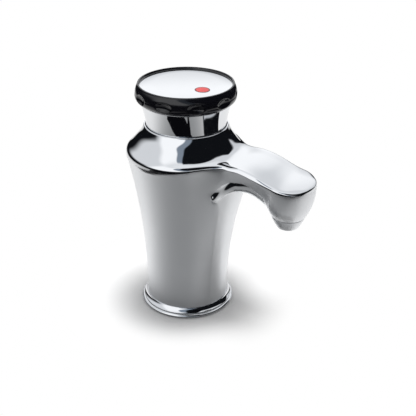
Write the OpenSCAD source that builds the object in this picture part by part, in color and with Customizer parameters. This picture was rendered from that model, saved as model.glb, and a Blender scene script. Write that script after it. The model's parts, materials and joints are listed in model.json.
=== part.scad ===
// Boiling water tap: a cast body with a hooked spout, a twist handle that springs shut, and its worktop fixing.
// Frame: +Z up, +X towards the spout, origin on the body's axis at the worktop.

/* [Worktop fixing] */
// Outside diameter of the threaded shank
shank_d = 32; // [28:0.5:34]
// Wall of the shank
shank_wall = 3; // [2:0.25:4]
// Thickness of worktop that the clamp is set to
worktop_t = 30; // [12:1:40]
// Length of shank left below the lock nut
shank_spare = 6; // [2:1:20]
// Outside diameter of the clamp washers
clamp_washer_d = 52; // [46:1:60]
// Thickness of the rubber clamp washer
clamp_rubber_t = 3; // [2:0.5:5]
// Thickness of the steel clamp washer
clamp_steel_t = 2; // [1:0.25:3]
// Size of the lock nut across its flats
lock_nut_af = 41; // [38:1:46]
// Height of the lock nut
lock_nut_h = 9; // [6:0.5:14]

/* [Base ring] */
// Outside diameter of the base ring
base_d = 60; // [57:0.5:66]
// Height of the bead at the worktop
bead_h = 2.6; // [2:0.2:3.4]
// Height of the base ring up to the body's foot
base_h = 5.6; // [5:0.2:8]
// Thickness of the gasket under the base ring
gasket_t = 1.4; // [1:0.1:2]

/* [Body] */
// Diameter of the body at its foot
foot_d = 52; // [50:0.5:53.5]
// Diameter at the shoulder's crease
crease_d = 75; // [70:0.5:80]
// Height of the shoulder's crease above the worktop
crease_z = 106.5; // [100:0.5:114]
// Height of the shoulder from its crease to the top lip
shoulder_h = 16.2; // [14:0.2:20]
// How far the front of the body swells forward to meet the arch under the spout
front_swell = 6; // [4:0.5:7]
// Wall of the casting
body_wall = 3; // [2:0.25:4]
// Thickness of the threaded web that the shank screws into
web_t = 8; // [6:0.5:12]
// Diameter of the bore that the valve manifold drops into
manifold_bore_d = 38; // [37:0.25:39]

/* [Spout] */
// Distance from the body's axis to the nozzle's axis
reach = 69.3; // [66:0.5:78]
// Width of the spout across its top edges
spout_w = 38; // [35:0.5:41]
// Height of the spout's top edges over the crease, where it leaves the shoulder
spout_rise = 1.5; // [0.5:0.25:2.5]
// Fall of the top edges from the shoulder to the nozzle's axis
spout_fall = 8; // [6:0.5:9]
// Depth of the spout from its top edges to the crown of the arch under it
spout_depth = 19.7; // [19:0.1:23]
// Distance from the body's axis to that point
arch_x = 42; // [41:0.25:44]
// Height of the top face's crown over its edges
crown = 2; // [1:0.25:3]

/* [Nozzle] */
// Height of the nozzle's mouth above the worktop
mouth_z = 69.4; // [67:0.2:71]
// Height of the screwed-in nozzle ring
nozzle_h = 7.6; // [6.5:0.2:8.6]
// Outside diameter at the mouth
mouth_d = 12.9; // [12.4:0.1:14]
// Outside diameter where the nozzle ring meets the casting
nozzle_d = 20.4; // [19.5:0.1:21.5]
// Bore at the mouth
outlet_d = 11.2; // [10.4:0.1:11.6]

/* [Pipes] */
// Outside diameter of the copper tails and of the delivery tube
pipe_d = 6.35; // [5.5:0.05:6.5]
// Wall of the pipes
pipe_wall = 0.8; // [0.6:0.05:1]
// Length of tail below the shank, past its collar
tail_end = 14; // [10:1:30]

/* [Handle] */
// Diameter of the skirt at its lower edge
skirt_d = 48.8; // [47.8:0.1:49.2]
// Height of the skirt above the lip
skirt_h = 14.8; // [12.8:0.2:17]
// Largest diameter of the grip ring
grip_d = 61.4; // [60:0.2:64]
// Height of the grip ring
grip_h = 10.9; // [10:0.1:12.5]
// Diameter of the top plate
plate_d = 54.2; // [52:0.2:55]
// Number of finger dimples
dimples = 10; // [6:1:12]
// Depth of a finger dimple
dimple_depth = 1.1; // [0.6:0.1:1.3]
// Diameter of the red marker
dot_d = 9; // [6:0.5:11]
// Distance of the red marker from the axis
dot_off = 16.3; // [12:0.1:18]
// Direction of the red marker, from the spout
dot_angle = -25; // [-60:1:60]
// Turn of the handle from shut to open
turn = 75; // [60:1:80]

/* [Hidden] */
$fn = 96;
eps = 0.01;
fit = 0.05;           // radial clearance of a thread or a spigot
slide = 0.2;          // gap beside a loose piece
run_gap = 0.3;        // gap between pieces that turn past each other

// Heights
crease_r = crease_d / 2;
lip_z = crease_z + shoulder_h;
lip_r = skirt_d / 2 + 1.2;          // outer edge of the lip, just outside the skirt
lip_bore_r = skirt_d / 2 + 0.55;
skirt_drop = 3.2;                   // how far the skirt reaches down inside the lip
skirt_z = lip_z - skirt_drop;
slip_t = 1.9;
slip_z = skirt_z - run_gap - slip_t;
flange_t = 3;                       // flange of the manifold
seal_t = 0.6;
flange_head_h = 2.2;
deck_z = slip_z - flange_head_h - flange_t - seal_t - 0.1;  // seat of the manifold's flange inside the shoulder
deck_t = 13;
foot_z = base_h;
foot_r = foot_d / 2;
shoulder_sag = 1.5;
neck_draw = 2.4;
web_z = foot_z + 3;                 // underside of the web, above the recess for the base ring's spigot
web_top = web_z + web_t;

// Spout
spout_z = crease_z + spout_rise;
arch_z = spout_z - spout_depth;
joint_z = mouth_z + nozzle_h;       // joint between the casting and the nozzle ring
nozzle_r = nozzle_d / 2;
nozzle_spigot_r = 7.9;
nozzle_spigot_h = 4.5;
fall_x = arch_x - 2;                // where the top starts to fall
tip_slope = 0.07;
tip_ratio = 0.8;                    // length of the tip's rim over its width
root_flare = 4;
spout_wall = 2.6;
hollow_w = nozzle_spigot_r + 1.1;   // half width of the spout's hollow
roof_top = crease_z + 8;            // height above every point of the spout's top face

// Shank and clamp
shank_r = shank_d / 2;
shank_bore_r = shank_r - shank_wall;
shank_low = -(worktop_t + clamp_rubber_t + clamp_steel_t + lock_nut_h + shank_spare);

// Manifold
manifold_r = manifold_bore_d / 2 - slide;
flange_r = manifold_r + 4.7;
manifold_h = 28;
manifold_z = deck_z + seal_t - manifold_h;      // underside
flange_z = deck_z + seal_t;                     // underside of the flange
manifold_top = flange_z + flange_t;
cavity_r = 12;
cavity_z = manifold_z + 15;                     // floor of the cartridge's cavity
pipe_r = pipe_d / 2;
socket_r = pipe_r + 0.075;
tail_pcr = 7;                                   // circle that the tails and the disc's ports stand on
tail_depth = 7.4;
port_r = 2;
hot_angle = 0;
inlet_angle = 120;
tank_angle = 240;
outlet_z = cavity_z - 3.9;                      // axis of the delivery tube
outlet_x = 11.6;                                // bottom of its socket
tube_seal_x = manifold_r - 2.8;
tube_seal_r = pipe_r + 1.1;
screw_r = 1.5;
screw_head_r = 2.75;
flange_screw_pcr = flange_r - 2.3;
flange_screw_angles = [30, 150, 270];

// Cartridge
disc_t = 3.5;
seat_t = 1.6;
fixed_disc_z = cavity_z + seat_t;
disc_r = 10.2;
film = 0.02;                                    // water film between the discs
moving_disc_z = fixed_disc_z + disc_t + film;
moving_disc_r = 10.1;
drive_d = 1.8;                                  // depth, width and length of the spindle's tongue
drive_w = 4;
drive_l = 13;
spindle_z = moving_disc_z + disc_t + 0.08;      // underside of the spindle's flange
spindle_flange_t = 3.2;
spindle_flange_r = 9.4;
neck_r = 5;
thrust_t = 0.3;
thrust_z = spindle_z + spindle_flange_t + 0.05;
housing_r = cavity_r - slide;
housing_bore_r = disc_r + slide;
housing_roof = thrust_z + thrust_t + 0.05;
nut_r = 14;                                     // thread of the retaining nut
nut_z = manifold_top - 3;                       // shoulder of the housing, where the nut bears
nut_hex_h = 4;
housing_neck_r = 7.2;
housing_top = manifold_top + 5;
clip_z = housing_top + run_gap;
clip_t = 1;
square_w = 7;                                   // drive square on the spindle
oring_r = 0.78;

// Handle
skirt_r = skirt_d / 2;
skirt_top = lip_z + skirt_h;
skirt_wall = 1.5;
skirt_top_r = grip_d / 2 - 2.9;
skirt_flange_t = 2;
hub_top = skirt_top - skirt_flange_t;
hub_web_t = 3.5;
hub_ring_r1 = 18.9;
hub_ring_r2 = skirt_r - skirt_wall - 0.6;
hub_low = manifold_top + flange_head_h + 3.3;
hub_boss_r = 8.5;
spindle_top = hub_top - 5.2;
handle_screw_r = 2;
handle_head_r = 3.8;
grip_z = skirt_top;
grip_top = grip_z + grip_h;
grip_floor_t = 2;
grip_bore_r = plate_d / 2 - 4.1;
plate_t = 1.6;
plate_z = grip_top - 0.4 - plate_t;
skirt_screw_pcr = (hub_ring_r1 + hub_ring_r2) / 2;
skirt_screw_angles = [0, 120, 240];
stop_r = 1.25;
stop_angle = 90;
spring_r = 17;
spring_wire_r = 0.7;
spring_turns = 5;
spring_z = manifold_top + 1.2;
spring_top = hub_top - hub_web_t - 1.5;
dimple_z = grip_z + 3.9;
dimple_phase = -14;

chrome = [0.83, 0.84, 0.86];
steel = [0.66, 0.67, 0.69];
brass = [0.78, 0.64, 0.36];
copper = [0.80, 0.50, 0.34];
rubber = [0.08, 0.08, 0.09];
ceramic = [0.93, 0.91, 0.86];
acetal = [0.88, 0.88, 0.85];
black = [0.04, 0.04, 0.045];

// ---------- helpers ----------

// Points of an arc from a to b that bulges by sag to the right of the way
function arc_points(a, b, sag, n) =
  let (chord = norm(b - a), r = (chord * chord / 4 + sag * sag) / (2 * abs(sag)), side = sign(sag),
       along = (b - a) / chord, out = side * [along[1], -along[0]],
       centre = (a + b) / 2 - out * (r - abs(sag)), half = asin(min(1, chord / 2 / r)))
  [for (i = [0 : n]) let (t = -half + 2 * half * i / n) centre + r * (cos(t) * out + sin(t) * along)];

// Faces of a tube of rings of n points, each wound right-handed about the way along, with a cap at both ends
function ring_faces(rings, n) = concat(
  [[for (j = [0 : n - 1]) j]],
  [for (i = [0 : rings - 2], j = [0 : n - 1]) let (k = (j + 1) % n)
    each [[i * n + j, (i + 1) * n + j, (i + 1) * n + k], [i * n + j, (i + 1) * n + k, i * n + k]]],
  [[for (j = [n - 1 : -1 : 0]) (rings - 1) * n + j]]
);

module at_angle(a, r) rotate([0, 0, a]) translate([r, 0, 0]) children();
module tube(r_out, r_in, h) difference() {
  cylinder(r = r_out, h = h);
  translate([0, 0, -1]) cylinder(r = r_in, h = h + 2);
}
module oring(r, section) rotate_extrude() translate([r, 0]) circle(r = section, $fn = 24);
module pan_screw(length, head_h, r = screw_r, head_r = screw_head_r) {
  difference() {
    union() {
      translate([0, 0, -length]) cylinder(r = r, h = length + eps, $fn = 32);
      cylinder(r = head_r, h = head_h, $fn = 48);
    }
    translate([0, 0, head_h - 1.2]) cylinder(r = r * 0.8, h = 2, $fn = 6);
  }
}

// ---------- casting ----------

// Radius of the body at height z, flaring like a trumpet from its foot to the crease
function up_body(z) = min(1, max(0, z - foot_z) / (crease_z - foot_z));
function body_r(z) = foot_r + (crease_r - foot_r) * pow(up_body(z), 2.2);
// Extra radius of its front, which grows up to the arch and fades above it, where the spout takes over
function swell(a, z) = front_swell * pow(max(0, cos(a)), 4)
  * (z < arch_z ? pow(max(0, z - foot_z) / (arch_z - foot_z), 1.8) : max(0.4, 1 - (z - arch_z) / 30));
// Beside the neck the wall draws in, so the crease climbs there towards the spout's edge
function draw_in(a, z) = neck_draw * exp(-pow((abs(a) - 48) / 13, 2)) * pow(up_body(z), 4);
module column() {
  n = 64;
  zs = concat([for (i = [0 : 14]) foot_z + (crease_z - foot_z) * i / 14], [lip_z + 1]);
  rings = [for (z = zs) [for (j = [0 : n - 1]) let (a = 360 * j / n - 180, r = body_r(z) + swell(a, z) - draw_in(a, z))
    [r * cos(a), r * sin(a), z]]];
  polyhedron([for (r = rings) each r], ring_faces(len(zs), n));
}
// The shoulder sweeps in from the crease to the lip in one hollow curve
module under_shoulder() rotate_extrude() polygon(concat(
  [[0, foot_z - 1], [crease_r + 8, foot_z - 1], [crease_r + 8, crease_z - 5]],
  arc_points([crease_r + 0.6, crease_z - 0.45], [lip_r, lip_z], -shoulder_sag, 8),
  [[0, lip_z]]));

// Height of the spout's top edges at x: level, then a soft step down to the tip
function edge_z(x) = let (s = min(1, max(0, (x - fall_x) / (reach - fall_x))))
  spout_z - spout_fall * s * s * (3 - 2 * s) - tip_slope * max(0, x - reach);
// Half width of the spout, a little wider at its root
function half_w(x) = spout_w / 2 + root_flare * pow(max(0, 36 - x) / 12, 2);
// Height of the underside: an arch that springs from the body's front and comes down behind the nozzle
function keel_z(x) = let (s = min(1, max(0, (x - arch_x) / (reach - nozzle_r - arch_x))))
  arch_z - 0.07 * pow(min(8, max(0, arch_x - x)), 2) - (arch_z - joint_z - 0.6) * pow(s, 1.75);

// One cross-section at x: half an ellipse below the spring line, upright walls above it
function spout_section(x, w, keel, spring, top) = concat(
  [for (i = [0 : 14]) let (a = 180 * i / 14) [x, -w * cos(a), spring - (spring - keel) * sin(a)]],
  [[x, w, top], [x, -w, top]]
);
section_n = 17;
module spout_beam() {
  root_x = 22;
  xs = concat([for (i = [0 : 7]) root_x + (arch_x - root_x) * i / 7], [for (i = [1 : 9]) arch_x + (reach - arch_x) * i / 9]);
  polyhedron([for (x = xs) each spout_section(x, half_w(x), keel_z(x), edge_z(x), roof_top)],
    ring_faces(len(xs), section_n));
}
// The tip stands round the nozzle's axis, from the joint up to the spout's edge
module spout_tip() {
  n = 40;
  rim = spout_w / 2 - 0.05;
  heights = concat([for (i = [0 : 8]) i / 8], [2]);
  rings = [for (t = heights) let (out = 1 - pow(1 - min(1, t), 2.6),
      rx = nozzle_r + (rim * tip_ratio - nozzle_r) * out, ry = nozzle_r + (rim - nozzle_r) * out)
    [for (j = [0 : n - 1]) let (a = 360 * j / n)
      [reach + rx * cos(a), ry * sin(a), t > 1 ? roof_top : joint_z + (edge_z(reach + rx * cos(a)) - joint_z) * t]]];
  polyhedron([for (r = rings) each r], ring_faces(len(rings), n));
}
// Everything under the spout's crowned top face
module under_roof() {
  half = spout_w / 2 + 6;
  x0 = 20;
  x1 = reach + spout_w / 2;
  xs = [for (i = [0 : 16]) x0 + (x1 - x0) * i / 16];
  polyhedron([for (x = xs) each concat([[x, -half, joint_z - 30], [x, half, joint_z - 30]],
      [for (i = [5 : -1 : -5]) let (y = half * i / 5) [x, y, edge_z(x) + crown * (1 - pow(2 * y / spout_w, 2))]])],
    ring_faces(len(xs), 13));
}
// Hollow of the spout, from the body's cavity to the nozzle's bore
module spout_hollow() {
  x0 = 24;
  x1 = reach + pipe_r + 2;
  xs = [for (i = [0 : 10]) x0 + (x1 - x0) * i / 10];
  polyhedron([for (x = xs) let (top = min(edge_z(x) - spout_wall, deck_z - deck_t + 0.7 * max(0, x - 33)),
        keel = max(keel_z(x) + spout_wall, joint_z + nozzle_spigot_h + 2.5))
      each spout_section(x, hollow_w, keel, keel + (top - keel) * 0.7, top)],
    ring_faces(len(xs), section_n));
}

module body_casting() color(chrome) difference() {
  union() {
    intersection() {
      column();
      under_shoulder();
    }
    intersection() {
      union() {
        spout_beam();
        spout_tip();
      }
      under_roof();
    }
  }
  // recess for the base ring's spigot, and the threaded web
  translate([0, 0, foot_z - 1]) cylinder(r = foot_r - body_wall, h = web_z - foot_z + 1);
  translate([0, 0, foot_z]) cylinder(r = shank_r + fit, h = web_top);
  // main cavity
  rotate_extrude() polygon(concat([[0, web_top]],
    [for (i = [0 : 10]) let (z = web_top + (deck_z - deck_t - web_top) * i / 10) [body_r(z) - body_wall, z]],
    [[0, deck_z - deck_t]]));
  // seat and bore of the manifold, and the recess that the skirt turns in
  translate([0, 0, deck_z - deck_t - 1]) cylinder(r = manifold_bore_d / 2, h = deck_t + 2);
  translate([0, 0, deck_z]) cylinder(r = flange_r + 0.4, h = lip_z);
  translate([0, 0, slip_z]) cylinder(r = lip_bore_r, h = lip_z);
  for (a = flange_screw_angles) at_angle(a, flange_screw_pcr)
    translate([0, 0, deck_z - 8]) cylinder(r = screw_r + fit, h = 9, $fn = 32);
  // way through the spout, and the nozzle's threaded bore
  spout_hollow();
  translate([reach, 0, joint_z - 1]) cylinder(r = nozzle_spigot_r + fit, h = nozzle_spigot_h + 6);
}

// ---------- worktop fixing ----------

gasket_r1 = shank_r + 3;
gasket_r2 = base_d / 2 - 3.2;
ring_bore_r = shank_r + 1;
spigot_r = foot_r - body_wall - 0.15;
module deck_gasket() color(rubber) tube(gasket_r2, gasket_r1, gasket_t);
module base_ring() color(chrome) rotate_extrude() {
  r = base_d / 2;
  cove_foot = [r - 1.5, bead_h + 0.5];
  cove_top = [foot_r + 0.9, base_h + 0.3];
  polygon(concat(
    [[ring_bore_r, gasket_t + eps], [gasket_r2 + 0.1, gasket_t + eps], [gasket_r2 + 0.1, 0], [r - bead_h / 2 + 0.1, 0]],
    arc_points([r - bead_h / 2 + 0.2, 0.05], [r - bead_h / 2 + 0.2, bead_h - 0.05], bead_h / 2 - 0.2, 8),
    [[r - 1.9, bead_h + 0.05]],
    arc_points(cove_foot, cove_top, -0.8, 6),
    [[foot_r + 0.15, base_h + 0.3], [foot_r + 0.15, base_h], [spigot_r, base_h], [spigot_r, base_h + 2.7],
     [ring_bore_r, base_h + 2.7]]));
}
module threaded_shank() color(brass) translate([0, 0, shank_low]) tube(shank_r, shank_bore_r, web_top - shank_low);
module clamp_washer_rubber() color(rubber) translate([0, 0, -worktop_t - clamp_rubber_t])
  tube(clamp_washer_d / 2, shank_r + 0.6, clamp_rubber_t);
steel_low = -worktop_t - clamp_rubber_t - clamp_steel_t;
module clamp_washer_steel() color(steel) translate([0, 0, steel_low])
  tube(clamp_washer_d / 2 - 0.5, shank_r + 0.6, clamp_steel_t);
module lock_nut() color(brass) translate([0, 0, steel_low - lock_nut_h]) difference() {
  intersection() {
    cylinder(r = lock_nut_af / sqrt(3), h = lock_nut_h, $fn = 6);
    rotate_extrude() polygon([[0, 0], [lock_nut_af / 2, 0], [lock_nut_af / 2 + 3, 1.7],
      [lock_nut_af / 2 + 3, lock_nut_h], [0, lock_nut_h]]);
  }
  translate([0, 0, -1]) cylinder(r = shank_r + fit, h = lock_nut_h + 2);
}

// ---------- valve manifold and pipes ----------

module valve_manifold() color(brass) difference() {
  union() {
    translate([0, 0, manifold_z]) cylinder(r = manifold_r, h = manifold_h);
    translate([0, 0, flange_z]) cylinder(r = flange_r, h = flange_t);
  }
  // cavity for the cartridge, and the thread of its nut
  translate([0, 0, cavity_z]) cylinder(r = cavity_r, h = manifold_h);
  translate([0, 0, nut_z]) cylinder(r = nut_r, h = flange_t + 1);
  for (a = [hot_angle, inlet_angle, tank_angle]) at_angle(a, tail_pcr)
    translate([0, 0, manifold_z - 1]) cylinder(r = socket_r, h = tail_depth + 1, $fn = 48);
  for (a = [inlet_angle, tank_angle]) at_angle(a, tail_pcr)
    translate([0, 0, manifold_z]) cylinder(r = port_r, h = cavity_z - manifold_z + 1, $fn = 48);
  at_angle(hot_angle, tail_pcr) translate([0, 0, manifold_z]) cylinder(r = port_r, h = outlet_z - manifold_z, $fn = 48);
  translate([tail_pcr - 1, 0, outlet_z]) rotate([0, 90, 0]) cylinder(r = port_r, h = outlet_x, $fn = 48);
  translate([outlet_x, 0, outlet_z]) rotate([0, 90, 0]) cylinder(r = socket_r, h = manifold_r, $fn = 48);
  translate([tube_seal_x - 0.1, 0, outlet_z]) rotate([0, 90, 0]) cylinder(r = tube_seal_r + 0.1, h = manifold_r, $fn = 48);
  for (a = flange_screw_angles) at_angle(a, flange_screw_pcr)
    translate([0, 0, flange_z - 1]) cylinder(r = screw_r + 0.15, h = flange_t + 2, $fn = 32);
  at_angle(stop_angle, skirt_screw_pcr) translate([0, 0, flange_z + 0.6]) cylinder(r = stop_r + 0.01, h = flange_t, $fn = 32);
  at_angle(spring_foot_angle, spring_r) translate([0, 0, flange_z]) cylinder(r = spring_wire_r + 0.1, h = flange_t + 1, $fn = 24);
}
module manifold_seal() color(rubber) translate([0, 0, deck_z]) difference() {
  cylinder(r = flange_r, h = seal_t);
  translate([0, 0, -1]) cylinder(r = manifold_r + 0.1, h = seal_t + 2);
  for (a = flange_screw_angles) at_angle(a, flange_screw_pcr)
    translate([0, 0, -1]) cylinder(r = screw_r + 0.15, h = seal_t + 2, $fn = 32);
}
module flange_screws() color(steel) for (a = flange_screw_angles) at_angle(a, flange_screw_pcr)
  translate([0, 0, manifold_top]) pan_screw(flange_t + seal_t + 6, flange_head_h);
module stop_pin() color(steel) at_angle(stop_angle, skirt_screw_pcr) translate([0, 0, flange_z + 0.6])
  cylinder(r = stop_r, h = hub_low + 3.4 - flange_z, $fn = 32);

tail_low = shank_low - tail_end - 1.5;
module tail(a) color(copper) at_angle(a, tail_pcr) difference() {
  union() {
    translate([0, 0, tail_low]) cylinder(r = pipe_r, h = manifold_z + tail_depth - tail_low, $fn = 48);
    translate([0, 0, shank_low - 1.5]) cylinder(r = pipe_r + 0.7, h = 1.5, $fn = 48);
  }
  translate([0, 0, tail_low - 1]) cylinder(r = pipe_r - pipe_wall, h = manifold_z + tail_depth - tail_low + 2, $fn = 48);
}
module cold_inlet_tail() tail(inlet_angle);
module tank_feed_tail() tail(tank_angle);
module hot_return_tail() tail(hot_angle);
module tail_seals() color(rubber) for (a = [hot_angle, inlet_angle, tank_angle]) at_angle(a, tail_pcr)
  translate([0, 0, manifold_z - 0.9]) tube(pipe_r + 1.2, pipe_r + fit, 0.9);

bend_r = 8;
tube_end_z = joint_z + 1.2;
module pipe_run(r) {
  translate([outlet_x + 0.3, 0, outlet_z]) rotate([0, 90, 0]) cylinder(r = r, h = reach - bend_r - outlet_x - 0.3, $fn = 48);
  translate([reach - bend_r, 0, outlet_z - bend_r]) rotate([90, 0, 0]) rotate_extrude(angle = 90)
    translate([bend_r, 0]) circle(r = r, $fn = 48);
  translate([reach, 0, tube_end_z]) cylinder(r = r, h = outlet_z - bend_r - tube_end_z, $fn = 48);
}
module delivery_tube() color(acetal) difference() {
  pipe_run(pipe_r);
  pipe_run(pipe_r - pipe_wall);
  translate([outlet_x, 0, outlet_z]) rotate([0, 90, 0]) cylinder(r = pipe_r - pipe_wall, h = 2, $fn = 48);
  translate([reach, 0, tube_end_z - 1]) cylinder(r = pipe_r - pipe_wall, h = 2, $fn = 48);
}
module tube_seal() color(rubber) translate([tube_seal_x, 0, outlet_z]) rotate([0, 90, 0])
  tube(tube_seal_r, pipe_r + fit, 1.3);

// ---------- nozzle ----------

straightener_r = outlet_d / 2 - 0.6;
straightener_t = 3.2;
straightener_z = mouth_z + 2.8;
module nozzle_ring() color(chrome) translate([reach, 0, 0]) difference() {
  rotate_extrude() polygon([[0, mouth_z], [mouth_d / 2 - 0.5, mouth_z], [mouth_d / 2, mouth_z + 0.4],
    [nozzle_r, joint_z - 0.5], [nozzle_r - 0.4, joint_z], [nozzle_spigot_r, joint_z],
    [nozzle_spigot_r, joint_z + nozzle_spigot_h], [0, joint_z + nozzle_spigot_h]]);
  translate([0, 0, mouth_z - 1]) cylinder(r = outlet_d / 2, h = straightener_z - mouth_z + 1);
  translate([0, 0, mouth_z]) cylinder(r = straightener_r + fit, h = straightener_z + straightener_t - mouth_z);
  translate([0, 0, mouth_z]) cylinder(r = pipe_r - pipe_wall, h = 20);
  translate([0, 0, tube_end_z - 0.2]) cylinder(r = socket_r, h = 20);
  translate([0, 0, joint_z + 1.4]) tube(nozzle_spigot_r + 1, nozzle_spigot_r - 1.4, 1.9);
}
module nozzle_oring() color(rubber) translate([reach, 0, joint_z + 2.35]) oring(nozzle_spigot_r - 0.7, 0.66);
module flow_straightener() color(acetal) translate([reach, 0, straightener_z]) difference() {
  cylinder(r = straightener_r, h = straightener_t - 0.1);
  translate([0, 0, -1]) cylinder(r = 0.9, h = 9, $fn = 24);
  for (a = [0 : 60 : 300]) at_angle(a, 2.9) translate([0, 0, -1]) cylinder(r = 0.9, h = 9, $fn = 24);
}

// ---------- cartridge ----------

module ports(r, h) for (a = [inlet_angle, tank_angle]) at_angle(a, tail_pcr) cylinder(r = r, h = h, $fn = 48);
module seat_seals() color(rubber) translate([0, 0, cavity_z]) difference() {
  ports(port_r + 1, seat_t);
  translate([0, 0, -1]) ports(port_r, seat_t + 2);
}
module fixed_disc() color(ceramic) translate([0, 0, fixed_disc_z]) difference() {
  cylinder(r = disc_r, h = disc_t);
  translate([0, 0, -1]) ports(port_r, disc_t + 2);
}
// The pocket bridges both ports when the handle is open, and one of them when it's shut
module moving_disc() color(ceramic) translate([0, 0, moving_disc_z]) difference() {
  cylinder(r = moving_disc_r, h = disc_t);
  pocket = (tank_angle - inlet_angle) + 36;
  rotate([0, 0, (inlet_angle + tank_angle) / 2 - pocket / 2 - turn]) translate([0, 0, -1]) rotate_extrude(angle = pocket)
    translate([tail_pcr - port_r - 0.1, 0]) square([2 * port_r + 0.2, 2.6]);
  translate([-drive_l / 2 - 0.5, -drive_w / 2 - 0.15, disc_t - drive_d]) cube([drive_l + 1, drive_w + 0.3, drive_d + 1]);
}
module cartridge_housing() color(brass) difference() {
  union() {
    translate([0, 0, cavity_z]) cylinder(r = housing_r, h = nut_z - cavity_z);
    translate([0, 0, nut_z - eps]) cylinder(r = housing_neck_r, h = housing_top - nut_z + eps);
  }
  translate([0, 0, cavity_z - 1]) cylinder(r = housing_bore_r, h = housing_roof - cavity_z + 1);
  translate([0, 0, cavity_z]) cylinder(r = neck_r + fit, h = housing_top);
}
module thrust_washer() color(acetal) translate([0, 0, thrust_z]) tube(spindle_flange_r, neck_r + 0.3, thrust_t);
module retaining_nut() color(brass) difference() {
  union() {
    translate([0, 0, nut_z]) cylinder(r = nut_r - fit, h = manifold_top - nut_z + eps);
    translate([0, 0, manifold_top]) cylinder(r = nut_r - 0.2, h = nut_hex_h, $fn = 6);
  }
  translate([0, 0, nut_z - 1]) cylinder(r = housing_neck_r + fit, h = nut_hex_h + 9);
}
groove_r = neck_r - 2 * oring_r - 0.06;
oring_zs = [housing_roof + 2.2, housing_roof + 5.6];
module spindle() color(brass) difference() {
  union() {
    translate([-drive_l / 2, -drive_w / 2, spindle_z - drive_d + 0.2]) cube([drive_l, drive_w, drive_d]);
    translate([0, 0, spindle_z]) cylinder(r = spindle_flange_r, h = spindle_flange_t);
    translate([0, 0, spindle_z]) cylinder(r = neck_r, h = clip_z + clip_t + 1 - spindle_z);
    translate([0, 0, clip_z]) intersection() {
      cylinder(r = neck_r - 0.3, h = spindle_top - clip_z);
      translate([-square_w / 2, -square_w / 2, 0]) cube([square_w, square_w, spindle_top - clip_z]);
    }
  }
  for (z = oring_zs) translate([0, 0, z - oring_r - 0.1]) tube(neck_r + 1, groove_r, 2 * oring_r + 0.2);
  translate([0, 0, clip_z - fit]) tube(neck_r + 1, neck_r - 0.8, clip_t + 2 * fit);
  translate([0, 0, spindle_top - 9]) cylinder(r = handle_screw_r + fit, h = 10, $fn = 32);
}
module spindle_orings() color(rubber) for (z = oring_zs) translate([0, 0, z]) oring(neck_r - oring_r - 0.03, oring_r);
module spindle_clip() color(steel) translate([0, 0, clip_z]) difference() {
  tube(neck_r + 1.6, neck_r - 0.75, clip_t);
  translate([0, -1.6, -1]) cube([9, 3.2, 4]);
}

// Torsion spring: a coil round the retaining nut, with an upright foot at each end, swept as one wire
spring_foot_angle = 200;
module return_spring() color(steel) {
  n = 6;
  steps = 16 * spring_turns;
  bend = asin(2 * spring_wire_r / spring_r);   // turn taken by the bend between foot and coil
  end = spring_foot_angle + 360 * spring_turns;
  drop = 2 * spring_wire_r;
  // each station of the wire: angle round the axis, height, steepness
  stations = concat(
    [[spring_foot_angle, flange_z + 0.4, 90], [spring_foot_angle, spring_z - drop, 90],
     [spring_foot_angle + bend * 0.3, spring_z - drop * 0.3, 45]],
    [for (i = [0 : steps]) [spring_foot_angle + bend + (360 * spring_turns - 2 * bend) * i / steps,
      spring_z + (spring_top - spring_z) * i / steps, 0]],
    [[end - bend * 0.3, spring_top + drop * 0.3, 45], [end, spring_top + drop, 90],
     [end, hub_top - hub_web_t + 2, 90]]);
  rings = [for (w = stations) let (out = [cos(w[0]), sin(w[0]), 0], side = [-sin(w[0]), cos(w[0]), 0],
      up = sin(w[2]) * side - cos(w[2]) * [0, 0, 1])
    [for (j = [0 : n - 1]) let (b = 360 * j / n)
      spring_r * out + [0, 0, w[1]] + spring_wire_r * (cos(b) * out + sin(b) * up)]];
  polyhedron([for (r = rings) each r], ring_faces(len(stations), n));
}
module slip_ring() color(acetal) translate([0, 0, slip_z]) tube(lip_bore_r - 0.1, hub_ring_r2 + 0.3, slip_t);

// ---------- handle ----------

module handle_hub() color(acetal) difference() {
  union() {
    translate([0, 0, hub_top - hub_web_t]) cylinder(r = hub_ring_r2, h = hub_web_t);
    translate([0, 0, hub_low]) tube(hub_ring_r2, hub_ring_r1, hub_top - hub_low - 1);
    translate([0, 0, clip_z + clip_t + 1.2]) cylinder(r = hub_boss_r, h = hub_top - clip_z - clip_t - 1.2);
  }
  translate([-square_w / 2 - fit, -square_w / 2 - fit, hub_low - 5]) cube([square_w + 2 * fit, square_w + 2 * fit, spindle_top + 0.2 - hub_low + 5]);
  translate([0, 0, hub_low]) cylinder(r = handle_screw_r + 0.2, h = hub_top, $fn = 32);
  // window that the stop pin travels in
  slack = 1 + asin(stop_r / skirt_screw_pcr);
  rotate([0, 0, stop_angle - turn - slack]) translate([0, 0, hub_low - 1]) rotate_extrude(angle = turn + 2 * slack)
    translate([hub_ring_r1 - 1, 0]) square([hub_ring_r2 - hub_ring_r1 + 2, 5.4]);
  for (a = skirt_screw_angles) at_angle(a, skirt_screw_pcr)
    translate([0, 0, hub_top - 7.5]) cylinder(r = screw_r + fit, h = 9, $fn = 32);
  at_angle(spring_foot_angle, spring_r) translate([0, 0, hub_top - hub_web_t - 1]) cylinder(r = spring_wire_r + 0.1, h = 3.3, $fn = 24);
}
module handle_screw() color(steel) translate([0, 0, hub_top]) pan_screw(hub_top - spindle_top + 8, 2.6, handle_screw_r, handle_head_r);
function skirt_profile(inset) = arc_points([skirt_r - inset, skirt_z + 2.2], [skirt_top_r - inset, skirt_top], -0.75, 8);
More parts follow.
